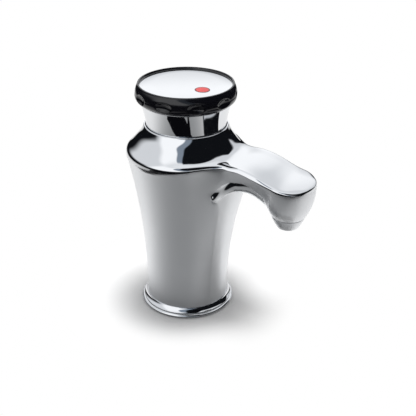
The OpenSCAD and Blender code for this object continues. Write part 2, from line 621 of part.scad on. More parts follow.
module handle_skirt() color(chrome) difference() {
  rotate_extrude() polygon(concat(
    [[skirt_r - skirt_wall, skirt_z], [skirt_r - 0.3, skirt_z], [skirt_r, skirt_z + 0.3]],
    skirt_profile(0),
    [[handle_head_r + 2, skirt_top], [handle_head_r + 2, hub_top + eps], [hub_ring_r2 + 1.2, hub_top + eps],
     [skirt_r - skirt_wall, hub_top - 2.5]]));
  for (a = skirt_screw_angles) at_angle(a, skirt_screw_pcr)
    translate([0, 0, hub_top - 1]) cylinder(r = screw_r + 0.15, h = skirt_flange_t + 2, $fn = 32);
}
dot_x = dot_off * cos(dot_angle);
dot_y = dot_off * sin(dot_angle);
grip_foot_r = grip_d / 2 - 2;
grip_rim_r = plate_d / 2 + 1;
module grip_ring() color(black) difference() {
  rotate_extrude() polygon(concat(
    [[screw_clear_r, grip_z], [grip_foot_r - 0.4, grip_z]],
    arc_points([grip_foot_r, grip_z + 0.3], [grip_d / 2, grip_z + 3.8], 0.5, 5),
    arc_points([grip_d / 2 - 0.05, grip_z + 4.6], [grip_rim_r + 0.5, grip_top - 0.6], 0.35, 5),
    [[grip_rim_r, grip_top], [plate_d / 2 + 0.25, grip_top], [plate_d / 2 + 0.25, plate_z], [grip_bore_r, plate_z],
     [grip_bore_r, grip_z + grip_floor_t], [screw_clear_r, grip_z + grip_floor_t]]));
  // finger dimples: lemon-shaped hollows lying along the ring
  dimple_r = 3.2;
  for (i = [0 : dimples - 1]) at_angle(dimple_phase + 360 * i / dimples, grip_d / 2 + dimple_r - dimple_depth)
    translate([0, 0, dimple_z]) rotate([90, 0, 0]) rotate_extrude()
      polygon(arc_points([0, -dimple_half_l], [0, dimple_half_l], dimple_r, 12));
  for (a = skirt_screw_angles) at_angle(a, skirt_screw_pcr)
    translate([0, 0, grip_z - 1]) cylinder(r = screw_r + 0.15, h = 5, $fn = 32);
}
dimple_half_l = 9;
screw_clear_r = 15;
module skirt_screws() color(steel) for (a = skirt_screw_angles) at_angle(a, skirt_screw_pcr)
  translate([0, 0, grip_z + grip_floor_t])
    pan_screw(grip_floor_t + skirt_flange_t + 6.5, flange_head_h, screw_r, grip_bore_r - skirt_screw_pcr - 0.15);
dot_sink = 0.8;
module top_plate() color(chrome) difference() {
  union() {
    translate([0, 0, plate_z]) rotate_extrude() polygon([[0, 0], [plate_d / 2, 0], [plate_d / 2, plate_t - 0.4],
      [plate_d / 2 - 0.5, plate_t], [0, plate_t]]);
    translate([0, 0, plate_z - 3.4]) tube(grip_bore_r - 0.1, grip_bore_r - 1.4, 3.4 + eps);
  }
  translate([dot_x, dot_y, plate_z + plate_t - dot_sink]) cylinder(r = dot_d / 2 + fit, h = 4);
}
module red_dot() color([0.86, 0.16, 0.12]) translate([dot_x, dot_y, plate_z + plate_t - dot_sink]) {
  cylinder(r = dot_d / 2, h = dot_sink);
}

deck_gasket();
base_ring();
threaded_shank();
clamp_washer_rubber();
clamp_washer_steel();
lock_nut();
body_casting();
valve_manifold();
manifold_seal();
flange_screws();
stop_pin();
cold_inlet_tail();
tank_feed_tail();
hot_return_tail();
tail_seals();
delivery_tube();
tube_seal();
nozzle_ring();
nozzle_oring();
flow_straightener();
seat_seals();
fixed_disc();
moving_disc();
cartridge_housing();
thrust_washer();
retaining_nut();
spindle();
spindle_orings();
spindle_clip();
return_spring();
slip_ring();
handle_hub();
handle_screw();
handle_skirt();
grip_ring();
skirt_screws();
top_plate();
red_dot();
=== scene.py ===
"""Boiling water tap: a chromed cast body with a hooked spout and a twist handle, on a white surface."""
import json
import math

import bmesh
import bpy
from mathutils import Matrix, Vector

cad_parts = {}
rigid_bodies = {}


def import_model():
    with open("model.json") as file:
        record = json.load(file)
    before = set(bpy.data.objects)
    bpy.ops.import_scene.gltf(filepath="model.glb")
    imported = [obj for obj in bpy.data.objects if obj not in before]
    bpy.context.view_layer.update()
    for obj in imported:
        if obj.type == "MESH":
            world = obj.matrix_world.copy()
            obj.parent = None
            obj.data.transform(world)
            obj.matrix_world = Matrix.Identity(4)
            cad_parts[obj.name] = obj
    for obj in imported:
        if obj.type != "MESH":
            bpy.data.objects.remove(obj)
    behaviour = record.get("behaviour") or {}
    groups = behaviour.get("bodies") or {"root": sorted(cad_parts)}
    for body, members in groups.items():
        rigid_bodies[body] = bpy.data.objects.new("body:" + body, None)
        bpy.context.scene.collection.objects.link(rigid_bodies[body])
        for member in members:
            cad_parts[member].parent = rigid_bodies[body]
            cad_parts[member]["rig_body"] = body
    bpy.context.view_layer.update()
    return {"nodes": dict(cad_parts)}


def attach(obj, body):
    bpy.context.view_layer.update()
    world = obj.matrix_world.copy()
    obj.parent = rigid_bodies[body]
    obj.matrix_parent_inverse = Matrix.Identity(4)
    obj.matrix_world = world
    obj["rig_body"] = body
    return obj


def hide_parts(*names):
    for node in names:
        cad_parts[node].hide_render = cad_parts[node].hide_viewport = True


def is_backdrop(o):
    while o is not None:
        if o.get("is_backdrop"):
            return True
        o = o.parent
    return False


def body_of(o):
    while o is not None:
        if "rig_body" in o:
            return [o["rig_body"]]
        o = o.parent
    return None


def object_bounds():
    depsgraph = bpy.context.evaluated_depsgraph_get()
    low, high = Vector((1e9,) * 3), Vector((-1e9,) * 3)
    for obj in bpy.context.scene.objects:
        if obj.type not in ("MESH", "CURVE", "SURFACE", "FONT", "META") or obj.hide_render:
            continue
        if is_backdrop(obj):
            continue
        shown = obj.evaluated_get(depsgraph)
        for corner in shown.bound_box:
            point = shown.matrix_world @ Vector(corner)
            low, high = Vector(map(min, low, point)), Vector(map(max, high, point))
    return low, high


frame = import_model()
scene = bpy.context.scene
scene.view_settings.view_transform = "Standard"
MM = 0.001

# ---------- the view ----------
# A product shot from the spout's near side, a little above the handle, with a long lens.
VIEW_AZIMUTH = math.radians(28)
VIEW_ELEVATION = math.radians(27.4)
VIEW_ROLL = 0.0047
VIEW_DISTANCE = 0.5406
VIEW_TARGET = Vector((11.8, 6.28, 64.5)) * MM
towards_camera = Vector((
    math.sin(VIEW_AZIMUTH) * math.cos(VIEW_ELEVATION),
    -math.cos(VIEW_AZIMUTH) * math.cos(VIEW_ELEVATION),
    math.sin(VIEW_ELEVATION),
))
camera = bpy.data.objects.new("camera", bpy.data.cameras.new("camera"))
scene.collection.objects.link(camera)
camera.data.sensor_width = 36
camera.data.lens = 73.56
camera.data.clip_start = 0.05
camera.data.clip_end = 20
aim = (-towards_camera).to_track_quat("-Z", "Y").to_matrix().to_4x4()
camera.matrix_world = (
    Matrix.Translation(VIEW_TARGET + towards_camera * VIEW_DISTANCE)
    @ aim
    @ Matrix.Rotation(VIEW_ROLL, 4, "Z")
)
scene.camera = camera


# ---------- the studio ----------
# A white table in a white tent, lit by one soft round lamp overhead. The tent shows only in the chrome: pale
# paper, brightest behind on the left, a blue-grey curtain, and a black room on the camera's side.
def add(tree, kind, **settings):
    node = tree.nodes.new(kind)
    for key, value in settings.items():
        setattr(node, key, value)
    return node


def maths(tree, operation, *values):
    """A math node; each value is a number or another node's output."""
    node = add(tree, "ShaderNodeMath", operation=operation)
    for socket, value in zip(node.inputs, values):
        if isinstance(value, (int, float)):
            socket.default_value = value
        else:
            tree.links.new(value, socket)
    return node.outputs[0]


def soft_step(tree, value, start, end):
    """0 at start and 1 at end, with a smooth rise between them."""
    node = add(tree, "ShaderNodeMapRange", interpolation_type="SMOOTHSTEP")
    tree.links.new(value, node.inputs["Value"])
    node.inputs["From Min"].default_value = start
    node.inputs["From Max"].default_value = end
    return node.outputs["Result"]


def blended(tree, share, first, second):
    """A mix of two colours, each a triple or another node's output."""
    node = add(tree, "ShaderNodeMix", data_type="RGBA")
    tree.links.new(share, node.inputs["Factor"])
    for socket, value in ((node.inputs[6], first), (node.inputs[7], second)):
        if isinstance(value, tuple):
            socket.default_value = (*value, 1)
        else:
            tree.links.new(value, socket)
    return node.outputs[2]


world = bpy.data.worlds.new("studio")
scene.world = world
world.use_nodes = True
tent = world.node_tree
sight = add(tent, "ShaderNodeTexCoord").outputs["Generated"]
direction = add(tent, "ShaderNodeSeparateXYZ")
tent.links.new(sight, direction.inputs[0])
# Directions in degrees: round the object from the spout's side, with the seam behind on the left, and up.
DEGREES, SEAM = 180 / math.pi, 215
turn = maths(tent, "ARCTAN2", direction.outputs["Y"], direction.outputs["X"])
turn = maths(tent, "ADD", maths(tent, "MULTIPLY", turn, DEGREES), SEAM)
around = maths(tent, "SUBTRACT", maths(tent, "FLOORED_MODULO", turn, 360), SEAM)
height = maths(tent, "MULTIPLY", maths(tent, "ARCSINE", direction.outputs["Z"]), DEGREES)
# The curtain and the black room have a bowed left edge, and the room's upper edge slopes down to the right.
BOW_HEIGHT, BOW = 45, 0.033
bow = maths(tent, "MULTIPLY", maths(tent, "POWER", maths(tent, "SUBTRACT", height, BOW_HEIGHT), 2), BOW)
bowed = maths(tent, "SUBTRACT", around, bow)
SLOPE_START, SLOPE_END, SLOPE = -66, 40, 0.28
along_slope = maths(tent, "MINIMUM", maths(tent, "MAXIMUM", around, SLOPE_START), SLOPE_END)
sloped = maths(tent, "ADD", height, maths(tent, "MULTIPLY", along_slope, SLOPE))
PAPER, DIM_PAPER, LOW_PAPER, SKY = (1.3, 1.31, 1.33), (0.88, 0.9, 0.93), (0.78, 0.8, 0.83), (1.05, 1.07, 1.1)
BLACK_ROOM, CURTAIN = (0.006, 0.007, 0.009), (0.27, 0.32, 0.39)
# The paper is brightest behind the object on the left, where the flat tops mirror it to the camera.
GLOW_DIRECTION = (-0.418, 0.787, 0.454)
glow = add(tent, "ShaderNodeVectorMath", operation="DOT_PRODUCT")
tent.links.new(sight, glow.inputs[0])
glow.inputs[1].default_value = GLOW_DIRECTION
paper = blended(tent, soft_step(tent, glow.outputs["Value"], 0.84, 0.99), DIM_PAPER, PAPER)
mirrored = blended(tent, soft_step(tent, height, 9, 23), LOW_PAPER, paper)
mirrored = blended(tent, soft_step(tent, height, 58, 72), mirrored, SKY)


def panel(colour, left, right, bottom, top, soft, bottom_soft=None, left_of=around, level=height):
    """Hangs a panel in the tent, between two directions round the object and two heights, with soft edges.
    left_of and level are the measures for its left and its upper edge."""
    rise = bottom_soft or soft
    sides = maths(tent, "MULTIPLY", soft_step(tent, left_of, left - soft, left + soft),
                  soft_step(tent, around, right + soft, right - soft))
    ends = maths(tent, "MULTIPLY", soft_step(tent, height, bottom - rise, bottom + rise),
                 soft_step(tent, level, top + soft, top - soft))
    return blended(tent, maths(tent, "MULTIPLY", sides, ends), mirrored, colour)


mirrored = panel(PAPER, left=-130, right=-60, bottom=9, top=60, soft=8, bottom_soft=3)
mirrored = panel(CURTAIN, left=-88, right=-40, bottom=8, top=60, soft=3, left_of=bowed)
mirrored = panel(BLACK_ROOM, left=-67, right=62, bottom=-40, top=48, soft=3, bottom_soft=4,
                 left_of=bowed, level=sloped)
mirrored = panel(BLACK_ROOM, left=-250, right=-140, bottom=-12, top=14, soft=8)
# Low over the table, under the paper's edge, the room is black all round.
PAPER_EDGE, ROOM_EDGE = 9, 5
mirrored = blended(tent, soft_step(tent, height, PAPER_EDGE, ROOM_EDGE), mirrored, BLACK_ROOM)
# Anything that isn't mirrored gets a plain even light, and the camera sees plain white.
PLAIN, WHITE = (0.47, 0.47, 0.47), (1.0, 1.0, 1.0)
tent_rays = add(tent, "ShaderNodeLightPath")
seen = blended(tent, tent_rays.outputs["Is Glossy Ray"], PLAIN, mirrored)
seen = blended(tent, tent_rays.outputs["Is Camera Ray"], seen, WHITE)
tent.links.new(seen, tent.nodes["Background"].inputs["Color"])

lamp = bpy.data.objects.new("overhead_lamp", bpy.data.lights.new("overhead_lamp", "AREA"))
lamp.data.shape = "DISK"
lamp.data.size = 0.18
lamp.data.energy = 3.7
lamp.location = (0.0, 0.02, 0.75)
lamp.visible_glossy = False
scene.collection.objects.link(lamp)

FLOOR_SIZE, FLOOR_GAP = 3.0, 0.0001
bm = bmesh.new()
bmesh.ops.create_grid(bm, x_segments=1, y_segments=1, size=FLOOR_SIZE / 2)
floor_mesh = bpy.data.meshes.new("floor")
bm.to_mesh(floor_mesh)
bm.free()
floor = bpy.data.objects.new("floor", floor_mesh)
scene.collection.objects.link(floor)
floor.location.z = -FLOOR_GAP
table_white = bpy.data.materials.new("table_white")
table_white.use_nodes = True
table = table_white.node_tree
table_shader = table.nodes["Principled BSDF"]
table_shader.inputs["Roughness"].default_value = 0.9
table_shader.inputs["Specular IOR Level"].default_value = 0
# In the chrome the table carries painted shade: its colour is painted darker towards the camera's side,
# stays bright at the sides and behind, and is painted near black further out, like the tent's black room. To
# the camera it runs out into plain white, and only the tap's shadow is left on it.
DARK_SIDE_X, DARK_SIDE_Y = 0.29, 0.957
MIDDLE_R = 0.012
TABLE_COLOUR, TABLE_SHADE, TABLE_PAINTED_DARK = (0.96, 0.96, 0.96), (0.3, 0.305, 0.31), (0.01, 0.011, 0.013)
PAINTED_DARK_REACH, NEARER_IN_FRONT = (0.55, 0.7), 0.32
SHADOW_X, SHADOW_REACH = -0.008, (0.038, 0.082)
place = add(table, "ShaderNodeSeparateXYZ")
table.links.new(add(table, "ShaderNodeTexCoord").outputs["Object"], place.inputs[0])
across_x, across_y = place.outputs["X"], place.outputs["Y"]


def reach_from(centre_x):
    """Distance along the table from a point on its X axis, in metres."""
    along = maths(table, "SUBTRACT", across_x, centre_x)
    squares = maths(table, "ADD", maths(table, "MULTIPLY", along, along),
                    maths(table, "MULTIPLY", across_y, across_y))
    return maths(table, "SQRT", squares)


# Seen only in reflections, the table's colour is painted shade: darker towards the camera's side and near
# black further out.
reach = reach_from(0)
to_dark_side = maths(table, "SUBTRACT", maths(table, "MULTIPLY", across_x, DARK_SIDE_X),
                     maths(table, "MULTIPLY", across_y, DARK_SIDE_Y))
in_front = maths(table, "DIVIDE", to_dark_side, maths(table, "ADD", reach, MIDDLE_R))
painted_shade = blended(table, soft_step(table, in_front, -0.3, 1.0), WHITE, TABLE_SHADE)
nearer = maths(table, "MULTIPLY", soft_step(table, in_front, 0.2, 0.9), NEARER_IN_FRONT)
painted_dark_share = soft_step(table, maths(table, "ADD", reach, nearer), *PAINTED_DARK_REACH)
painted_shade = blended(table, painted_dark_share, painted_shade, TABLE_PAINTED_DARK)
table_rays = add(table, "ShaderNodeLightPath")
table_colour = blended(table, table_rays.outputs["Is Glossy Ray"], TABLE_COLOUR, painted_shade)
table.links.new(table_colour, table_shader.inputs["Base Color"])
plain_white = add(table, "ShaderNodeEmission")
run_out = add(table, "ShaderNodeMixShader")
past_shadow = soft_step(table, reach_from(SHADOW_X), *SHADOW_REACH)
seen_plain = maths(table, "MULTIPLY", table_rays.outputs["Is Camera Ray"], past_shadow)
table.links.new(seen_plain, run_out.inputs[0])
table.links.new(table_shader.outputs[0], run_out.inputs[1])
table.links.new(plain_white.outputs[0], run_out.inputs[2])
table.links.new(run_out.outputs[0], table.nodes["Material Output"].inputs["Surface"])
floor_mesh.materials.append(table_white)
floor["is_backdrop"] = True

# A black card lies in front of the shoulder. It is hidden from the camera, from diffuse light and from
# shadows, and shows only in reflections: it stands in for darkness and gives the painted dark reflections on
# the handle's skirt and the dark line along the shoulder's edge.
CARD_Z = 101
CARD_OUTLINE = ((-23, -33), (-8, -39.5), (8, -39.5), (21, -34), (27, -43), (38, -45), (50, -42), (62, -34),
                (150, -50), (125, -105), (60, -84), (20, -67), (-2, -57), (-13, -48))
bm = bmesh.new()
bmesh.ops.contextual_create(bm, geom=[bm.verts.new((x * MM, y * MM, CARD_Z * MM)) for x, y in CARD_OUTLINE])
card_mesh = bpy.data.meshes.new("black_card")
bm.to_mesh(card_mesh)
bm.free()
card = bpy.data.objects.new("black_card", card_mesh)
scene.collection.objects.link(card)
card.visible_camera = False
card.visible_diffuse = False
card.visible_shadow = False
card_black = bpy.data.materials.new("card_black")
card_black.use_nodes = True
card_shader = card_black.node_tree.nodes["Principled BSDF"]
card_shader.inputs["Base Color"].default_value = (0.003, 0.003, 0.004, 1)
card_shader.inputs["Specular IOR Level"].default_value = 0
card_mesh.materials.append(card_black)
card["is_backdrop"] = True


# ---------- body casting ----------
# One hollow brass casting, ground before it is chromed: the flared column, the shoulder with its lip, and
# the hooked spout down to the nozzle's seat. Shoulder, spout top and underside are polished, the side walls
# are satin, and a crisp edge runs round the shoulder and the spout's top. All sizes are in millimetres.
FOOT_Z, CREASE_Z, LIP_Z = 5.6, 106.5, 122.7
FOOT_R, CREASE_R, LIP_R, LIP_BORE_R = 26.0, 37.5, 25.6, 24.95
DECK_Z, CAP_R, CAP_Z = 117.5, 18.0, 117.3
REACH = 69.3
JOINT_Z, JOINT_R = 77.0, 10.2
SPOUT_Z, SPOUT_FALL, TIP_SLOPE, CROWN, NECK_CROWN = 108.0, 8.6, 0.05, 2.0, 1.1
CROWN_START, CROWN_LENGTH = 40, 18
FALL_START, FALL_END, FALL_CURVE = 40.0, 75.0, 1.1
TIP_LONG, TIP_WIDE, TIP_CURVE = 15.2, 18.6, 2.8
ARCH_Z = 88.3
FLARE_CURVE = 2.2
FRONT_SWELL, SWELL_CURVE, LEAST_SWELL, SWELL_FADE = 6.0, 1.8, 0.4, 30
NECK_DRAW, NECK_ANGLE, NECK_SPREAD = 2.4, 48, 13
CREASE_RISE, RISE_ANGLE, RISE_SPREAD = 1.6, 40, 24
COLUMNS = (-155, -130, -106, -84, -65, -48, -31, -24, -12, 0, 12, 24, 31, 48, 65, 84, 106, 130, 155, 180)
SIDE_LEVELS = (FOOT_Z, 9, 22, 40, 58, 70, 79, 86.5, 95.5, 102)
DOOR_BOTTOM = SIDE_LEVELS.index(86.5)
# The spout grows out of a door in the column's front: its columns, and its rows from 0 at the top to 3.
DOOR_COLUMNS = (-31, -24, -12, 0, 12, 24, 31)
DOOR_SIDE = DOOR_COLUMNS[-1]
LAST_ROW, NO_ROW = 3, -1
ACROSS = (-1, -0.8, -0.4, 0, 0.4, 0.8, 1)
# Where the spout's underside meets the column: the ledge's height by column, and how many degrees the
# columns move aside there.
LEDGE = {0: 87.9, 12: 89.4, 24: 86.0, 31: 88.6}
LEDGE_ASIDE = {12: 3.5, 24: 3.6, 31: 6.2, 48: 3.5}
ASIDE_Z, ASIDE_SPREAD = 89, 8


def bell(value, centre, width):
    """1 at the centre, falling softly towards 0 on both sides."""
    return math.exp(-(((value - centre) / width) ** 2))


def side_radius(angle, z):
    """Radius of the column's outside: a trumpet flare, swollen in front and drawn in beside the neck."""
    up = min(1, max(0, z - FOOT_Z) / (CREASE_Z - FOOT_Z))
    flare = FOOT_R + (CREASE_R - FOOT_R) * up ** FLARE_CURVE
    if z < ARCH_Z:
        climb = (max(0, z - FOOT_Z) / (ARCH_Z - FOOT_Z)) ** SWELL_CURVE
    else:
        climb = max(LEAST_SWELL, 1 - (z - ARCH_Z) / SWELL_FADE)
    swell = FRONT_SWELL * max(0, math.cos(math.radians(angle))) ** 4 * climb
    draw = NECK_DRAW * bell(abs(angle), NECK_ANGLE, NECK_SPREAD) * up ** 4
    return flare + swell - draw


def crease_height(angle):
    return CREASE_Z + CREASE_RISE * bell(abs(angle), RISE_ANGLE, RISE_SPREAD)


def round_axis(angle, radius, z):
    a = math.radians(angle)
    return Vector((radius * math.cos(a), radius * math.sin(a), z))


def side_point(angle, z):
    """A point of the column's wall: the columns beside the arch spread out behind its corners."""
    if z == SIDE_LEVELS[DOOR_BOTTOM]:
        z = LEDGE.get(abs(angle), z)
    aside = bell(z, ASIDE_Z, ASIDE_SPREAD) * LEDGE_ASIDE.get(abs(angle), 0)
    angle += math.copysign(aside, angle)
    return round_axis(angle, side_radius(angle, z), z)


def edge_height(x):
    """Height of the spout's top edge: level at the neck, then a soft step down to the tip."""
    s = min(1, max(0, (x - FALL_START) / (FALL_END - FALL_START))) ** FALL_CURVE
    return SPOUT_Z - SPOUT_FALL * s * s * (3 - 2 * s) - TIP_SLOPE * max(0, x - FALL_END)


def tip_point(angle, up):
    """A point on the tip's wall: up is 0 at the nozzle's seat and 1 at the rim."""
    out = 1 - (1 - up) ** TIP_CURVE
    a = math.radians(angle)
    x = REACH + (JOINT_R + (TIP_LONG - JOINT_R) * out) * math.cos(a)
    y = (JOINT_R + (TIP_WIDE - JOINT_R) * out) * math.sin(a)
    return Vector((x, y, JOINT_Z + (edge_height(x) - JOINT_Z) * up))


def top_point(x, y, half):
    """A point on the spout's top, which is crowned across its width: half is half of that width."""
    crown = NECK_CROWN + (CROWN - NECK_CROWN) * min(1, max(0, (x - CROWN_START) / CROWN_LENGTH))
    return Vector((x, y, edge_height(x) + crown * (1 - min(1, (y / half) ** 2))))


# Stations of the spout from the neck out: top edge (x, half width), the side wall's lower edge (x, half
# width, z), the arch's centre line (x, z), how far the side wall bulges and how flat the underside is.
STATIONS = {
    1: ((37.4, 18.6), (35.0, 17.3, 96.7), (41.0, 88.2), 0.2, 4.5),
    2: ((42.0, 18.65), (40.0, 16.5, 98.2), (44.5, 88.1), 0.3, 3.4),
    3: ((46.8, 18.9), (45.2, 16.1, 98.8), (48.0, 86.7), 0.4, 2.6),
    4: ((52.0, 19.15), (50.4, 15.8, 97.5), (51.2, 84.3), 0.5, 2.1),
    5: ((57.0, 19.25), (55.0, 14.8, 94.5), (53.9, 82.0), 0.6, 1.9),
    6: ((61.3, 19.2), (58.4, 12.8, 90.0), (56.1, 79.9), 0.9, 1.8),
    7: ((65.4, 18.95), (60.6, 10.9, 84.2), (57.8, 78.3), 1.2, 1.8),
}
# Round the tip: the angles at which the last stations meet the rim and the nozzle's seat.
TIP_STATIONS = {8: (90, 138), 9: (68, 98), 10: (47, 62)}
TIP_ROWS = (1, 0.62, 0.28, 0)
FIRST_TIP, LAST_STATION = 8, 10
# How far the stations bow forwards in the middle, and where the last one's columns go so that they are even.
TOP_BOW, RIM_BOW = 0.8, 0.5
EVEN_ACROSS = {0: 0, 0.4: 1 / 3, 0.8: 2 / 3, 1: 1}


def spout_point(station, across, row):
    """Place of a spout vertex: across from -1 (near side) to 1, row 0 along the top to 3 underneath."""
    side = 1 if across > 0 else -1
    share = abs(across)
    if station < FIRST_TIP:
        (top_x, half), (low_x, low_y, low_z), (arch_x, arch_z), bulge, flatness = STATIONS[station]
        if row == 0:
            return top_point(top_x + TOP_BOW * (1 - share ** 4), half * across, half)
        if share == 1:
            place = top_point(top_x, half, half).lerp(Vector((low_x, low_y, low_z)), row / 3)
            return Vector((place.x, side * (place.y + bulge * math.sin(math.pi * row / 3)), place.z))
        return Vector((arch_x + (low_x - arch_x) * share ** 2, low_y * across,
                       arch_z + (low_z - arch_z) * share ** flatness))
    rim, seat = TIP_STATIONS[station]
    if station == LAST_STATION:
        return tip_point((rim + (seat - rim) * row / 3) * side * EVEN_ACROSS[share], TIP_ROWS[row])
    if share == 1:
        return tip_point(side * (rim + (seat - rim) * row / 3), TIP_ROWS[row])
    if row == 0:
        half = TIP_WIDE * math.sin(math.radians(rim))
        rim_x = REACH + TIP_LONG * math.cos(math.radians(rim))
        return top_point(rim_x + RIM_BOW * (1 - share), half * across, half)
    return tip_point(180 - (180 - seat) * across, 0)


# The shoulder sweeps in from the crease to the lip. In front it runs out onto the spout's top in a hollow
# curve. Its rows are (radius, height) at the sides and in front, and it gives way where the neck draws in.
SHOULDER_ROWS = ((34.2, 109.9), (30.7, 113.9), (27.6, 118.0), (LIP_R, LIP_Z))
NECK_ROWS = ((32.3, 110.6), (29.7, 114.0), (27.3, 118.0), (LIP_R, LIP_Z))
FOLLOWS_NECK = (0.7, 0.3, 0, 0)
CORNER_DIP, DIP_SPREAD, FRONT_SPREAD = (0.9, 0, 0, 0), 10, 28
# The fold between shoulder and spout top, by column: x, y, its share of the neck's crown and the height that
# is added to it.
FOLD = {0: (35.2, 0, 1, 0.4), 12: (34.9, 7.4, 0.84, 0.38), 24: (33.5, 14.8, 0.36, 0.34),
        31: (32.0, 19.4, 0, 0)}


def shoulder_point(angle, row):
    (radius, z), (neck_radius, neck_z) = SHOULDER_ROWS[row], NECK_ROWS[row]
    front = bell(angle, 0, FRONT_SPREAD)
    radius -= max(0, CREASE_R - side_radius(angle, CREASE_Z)) * FOLLOWS_NECK[row]
    z -= CORNER_DIP[row] * bell(abs(angle), DOOR_SIDE, DIP_SPREAD)
    return round_axis(angle, radius + (neck_radius - radius) * front, z + (neck_z - z) * front)


def crease_point(angle):
    """A point of the shoulder's crisp edge, which in front becomes the fold."""
    if abs(angle) in FOLD:
        x, y, crowned, raised = FOLD[abs(angle)]
        return Vector((x, math.copysign(y, angle), SPOUT_Z + NECK_CROWN * crowned + raised))
    return round_axis(angle, side_radius(angle, CREASE_Z), crease_height(angle))


def lift(bm, edges, place, row=NO_ROW):
    """Extrudes a row of edges and puts each new vertex where place says, from its own column."""
    made = bmesh.ops.extrude_edge_only(bm, edges=edges)["geom"]
    for vert in (g for g in made if isinstance(g, bmesh.types.BMVert)):
        angle = COLUMNS[vert[column_tag]]
        vert.co = place(angle) * MM
        vert[row_tag] = row if angle in DOOR_COLUMNS else NO_ROW
    return [g for g in made if isinstance(g, bmesh.types.BMEdge) and g.is_boundary]


bm = bmesh.new()
column_tag = bm.verts.layers.int.new("column")
row_tag = bm.verts.layers.int.new("row")
station_tag = bm.verts.layers.int.new("station")
crease_layer = bm.edges.layers.float.new("crease_edge")
bmesh.ops.create_circle(bm, segments=len(COLUMNS), radius=FOOT_R * MM)
bm.verts.ensure_lookup_table()
for index, vert in enumerate(sorted(bm.verts, key=lambda v: math.atan2(v.co.y, v.co.x))):
    vert[column_tag] = index
for vert in bm.verts:
    vert.co = side_point(COLUMNS[vert[column_tag]], FOOT_Z) * MM
    vert[row_tag] = NO_ROW
foot_ring = list(bm.edges)
ring = foot_ring
for index, level in enumerate(SIDE_LEVELS[1:], 1):
    door_row = DOOR_BOTTOM + LAST_ROW - index if index >= DOOR_BOTTOM else NO_ROW
    ring = lift(bm, ring, lambda a, z=level: side_point(a, z), door_row)
ring = lift(bm, ring, crease_point, 0)
crease_ring = list(ring)
door = [f for f in bm.faces if all(v[row_tag] >= 0 for v in f.verts)]
for station in range(1, LAST_STATION + 1):
    made = bmesh.ops.extrude_face_region(bm, geom=door)["geom"]
    bmesh.ops.delete(bm, geom=[f for f in door if f.is_valid], context="FACES")
    for vert in (g for g in made if isinstance(g, bmesh.types.BMVert)):
        vert[station_tag] = station
        across = ACROSS[DOOR_COLUMNS.index(COLUMNS[vert[column_tag]])]
        vert.co = spout_point(station, across, vert[row_tag]) * MM
    door = [g for g in made if isinstance(g, bmesh.types.BMFace)]
seat_faces = [f for f in bm.faces
              if all(v[station_tag] >= FIRST_TIP and v[row_tag] == LAST_ROW for v in f.verts)]
bmesh.ops.delete(bm, geom=seat_faces, context="FACES")
seat_ring = [e for e in bm.edges if e.is_boundary and all(v[station_tag] >= FIRST_TIP for v in e.verts)]

# Under the spout's lower edges the arch is cut back a step, so that a hollow shows beside the column. By
# station: how far the step lies forwards of the edge, inwards and up.
SAME_PLACE = 1e-7
STEP_IN = {0: (2.4, 0.2, -2.2), 1: (0.9, 3.8, -0.7), 2: (0.7, 3.6, -0.8), 3: (0.4, 3.2, -1.0),
           4: (0, 2.7, -1.1), 5: (-0.5, 2.1, -1.0), 6: (-0.9, 1.5, -0.9)}
rungs = [e for e in bm.edges
         if all(v[row_tag] == LAST_ROW for v in e.verts)
         and e.verts[0][station_tag] == e.verts[1][station_tag]
         and e.verts[0][station_tag] in STEP_IN
         and sorted(abs(COLUMNS[v[column_tag]]) for v in e.verts) == list(DOOR_COLUMNS[-2:])]
steps = []
for rung in rungs:
    inner, outer = sorted(rung.verts, key=lambda v: abs(COLUMNS[v[column_tag]]))
    shift_x, shift_in, shift_z = STEP_IN[outer[station_tag]]
    side = 1 if outer.co.y > 0 else -1
    steps.append(((inner.co + outer.co) / 2, outer.co + Vector((shift_x, -side * shift_in, shift_z)) * MM,
                  outer[station_tag], inner[column_tag]))
bmesh.ops.subdivide_edges(bm, edges=rungs, cuts=1)
for vert in bm.verts:
    for middle, wanted, station, column in steps:
        if (vert.co - middle).length < SAME_PLACE:
            vert[row_tag] = LAST_ROW
            vert[station_tag] = station
            vert[column_tag] = column
            vert.co = wanted
            break

EDGE_ROLL = 1.6
ARCH_CREASE, LEDGE_CREASE = 0.5, 0.35
edge_ring = [e for e in bm.edges if e in crease_ring and not all(
    COLUMNS[v[column_tag]] in DOOR_COLUMNS for v in e.verts)]
edge_ring += [e for e in bm.edges
              if all(v[row_tag] == 0 for v in e.verts) and (
                  all(abs(COLUMNS[v[column_tag]]) == DOOR_SIDE for v in e.verts)
                  or all(v[station_tag] == LAST_STATION for v in e.verts))]
arch_ring = [e for e in bm.edges
             if all(v[row_tag] == LAST_ROW and abs(COLUMNS[v[column_tag]]) == DOOR_SIDE
                    and v[station_tag] <= FIRST_TIP for v in e.verts)]
ledge_ring = [e for e in bm.edges if all(v[row_tag] == LAST_ROW and v[station_tag] == 0 for v in e.verts)]
satin_sides = [f for f in bm.faces
               if not any(all(v[row_tag] == row for v in f.verts) for row in (0, LAST_ROW))]
ring = [e for e in bm.edges if e in crease_ring]
for row in range(len(SHOULDER_ROWS)):
    ring = lift(bm, ring, lambda a, r=row: shoulder_point(a, r))
lip_ring = list(ring)
ring = lift(bm, ring, lambda a: round_axis(a, LIP_BORE_R, LIP_Z))
lip_bore_ring = list(ring)
ring = lift(bm, ring, lambda a: round_axis(a, LIP_BORE_R, DECK_Z))
deck_ring = list(ring)
ring = lift(bm, ring, lambda a: round_axis(a, CAP_R, CAP_Z))
bmesh.ops.contextual_create(bm, geom=ring)

